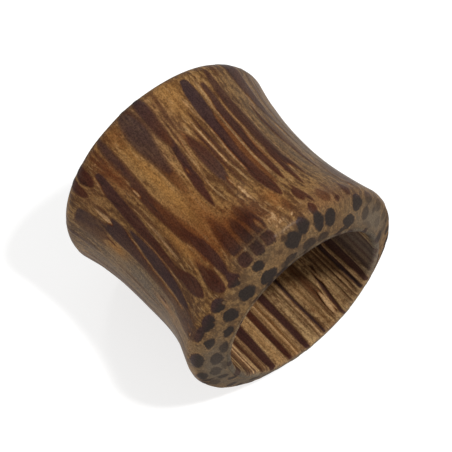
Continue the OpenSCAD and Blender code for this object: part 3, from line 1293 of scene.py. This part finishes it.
def wood_material(material, seed, density, bump, sanded, look):
    """What both finishes share: grain, colour and the relief of the small things."""
    material.use_nodes = True
    tree = material.node_tree
    tree.nodes.clear()
    cold = ease(attribute(tree, "end_share"), SANDED_BEGINS, SANDED_FULL) if sanded else 0.0
    place = times(wire(tree, "ShaderNodeTexCoord", {}, "Object"), (1 / MM, 1 / MM, 1 / MM))
    grain = use_group(tree, palm_grain, {"Place": place, "Seed": seed, "Fibre Density": density})
    hue, depth, soft = parts(attribute(tree, "stain", "Vector"))
    colour = use_group(tree, palm_colour, {
        **grain, **look, "Hue": hue, "Depth": depth, "Soft": soft, "Coldness": cold,
        "Bundle": attribute(tree, "bundle"), "Tint": attribute(tree, "tint", "Vector"),
        "Lightness": attribute(tree, "lightness")})
    small = grain["Fibre"] * 0.5 + grain["Speckle"] * 0.35 - grain["Pore"] * 0.7
    relief = {"Strength": bump, "Distance": BUMP_DISTANCE, "Height": small}
    normal = wire(tree, "ShaderNodeBump", relief)
    values = {"Base Color": colour["Colour"], "Normal": normal}
    shader = node(tree, "ShaderNodeBsdfPrincipled", values)
    node(tree, "ShaderNodeOutputMaterial", {"Surface": Wire(tree, shader.outputs[0])})
    return shader, grain["Speckle"], cold


shader, speckle, cold = wood_material(
    outside_wood, seed=3.0, density=4.0, bump=0.5, sanded=True,
    look={"Fray": 0.22, "Ground": paint(126, 94, 56), "Shade": paint(76, 50, 29)})
plug(0.36 + cold * 0.3 + speckle * 0.15, shader.inputs["Roughness"])
plug(0.03 - cold * 0.03, shader.inputs["Coat Weight"])
set_inputs(shader, {"Coat Roughness": 0.25, "Specular IOR Level": 0.025})
print(f"{outside_wood.name} made")

# %% [markdown]
# In the bore the fibres stay as the drill left them, so the finish is dull and rough.

# %% Material: the bore
shader, speckle, cold = wood_material(
    bore_wood, seed=8.0, density=4.6, bump=0.6, sanded=False,
    look={"Fray": 0.16, "Ground": paint(158, 128, 88), "Shade": paint(98, 71, 47)})
plug(0.6 + speckle * 0.2, shader.inputs["Roughness"])
set_inputs(shader, {"Specular IOR Level": 0.05})
print(f"{bore_wood.name} made")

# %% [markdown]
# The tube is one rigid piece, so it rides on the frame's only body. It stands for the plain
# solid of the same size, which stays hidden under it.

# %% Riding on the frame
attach(tunnel, "root")
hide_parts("tunnel")

# %% [markdown]
# The picture is taken from above the near end, with a long lens. The distance and the lens
# were fitted to how much smaller the far end looks than the near one. The camera then moves
# a little to the side and upwards, which sets the tube in its place without turning the view.

# %% The camera
AZIMUTH = 50.9
ELEVATION = 55.6
DISTANCE = 0.11003
AIM = Vector((0.00012, 0.0, AXIS_HEIGHT * MM))
FOCAL_PIXELS = 1775
PHOTO_PIXELS = 452
SENSOR = 36.0
SHIFT_RIGHT = -0.1475
SHIFT_UP = 0.0676

azimuth = math.radians(AZIMUTH)
elevation = math.radians(ELEVATION)
back = Vector((math.sin(azimuth) * math.cos(elevation), -math.cos(azimuth) * math.cos(elevation),
               math.sin(elevation)))
right = Vector((math.cos(azimuth), math.sin(azimuth), 0.0))
up = back.cross(right)

camera_data = bpy.data.cameras.new("camera")
camera_data.lens = SENSOR * FOCAL_PIXELS / PHOTO_PIXELS
camera_data.sensor_width = SENSOR
camera_data.clip_start = 0.01
camera_data.clip_end = 10.0
camera = add_object("camera", camera_data)
camera.location = AIM + back * DISTANCE + right * SHIFT_RIGHT * MM + up * SHIFT_UP * MM
camera.rotation_euler = Matrix((right, up, back)).transposed().to_euler()
bpy.context.scene.camera = camera
print(f"camera at {[round(part, 4) for part in camera.location]}, lens {camera_data.lens:.1f} mm")

# %% [markdown]
# The floor glows a little, as a lit studio table does, so that its shadows stay faint. The key
# light shines from high above, on the near end's side, and reaches into the bore. A weak broad
# light fills the front, a small window light above the far end puts glints on the waist, and
# a pale sky does the rest. One big light overhead would be simpler, but reach less far inside.

# %% Floor, lights and sky
FLOOR_HALF = 0.6
floor_corners = [(-1, -1), (1, -1), (1, 1), (-1, 1)]
floor_mesh = bpy.data.meshes.new("floor")
floor_mesh.from_pydata([(x * FLOOR_HALF, y * FLOOR_HALF, 0) for x, y in floor_corners],
                       [], [(0, 1, 2, 3)])
floor = add_object("floor", floor_mesh)
paper = bpy.data.materials.new("pale_floor")
paper.use_nodes = True
set_inputs(paper.node_tree.nodes["Principled BSDF"],
           {"Base Color": (0.35, 0.35, 0.35, 1), "Emission Color": (1, 1, 1, 1),
            "Emission Strength": 0.72, "Roughness": 0.9, "Specular IOR Level": 0.1})
floor_mesh.materials.append(paper)


def soft_light(name, towards, distance, size, power):
    """A square light that shines at the tunnel from a direction."""
    data = bpy.data.lights.new(name, "AREA")
    data.size = size
    data.energy = power
    made = add_object(name, data)
    direction = Vector(towards).normalized()
    made.location = AIM + direction * distance
    made.rotation_euler = direction.to_track_quat("Z", "Y").to_euler()


soft_light("key", towards=(0.414, 0.23, 0.88), distance=0.6, size=0.06, power=3.2)
soft_light("front", towards=(-0.15, -0.88, 0.45), distance=0.6, size=0.30, power=0.6)
soft_light("window", towards=(-0.64, 0.16, 0.75), distance=0.5, size=0.06, power=0.3)

sky = bpy.data.worlds.new("sky")
sky.use_nodes = True
set_inputs(sky.node_tree.nodes["Background"], {"Color": (1.0, 0.99, 0.97, 1), "Strength": 0.45})
bpy.context.scene.world = sky
bpy.context.scene.view_settings.view_transform = "Standard"
print("floor, three lights and sky placed")
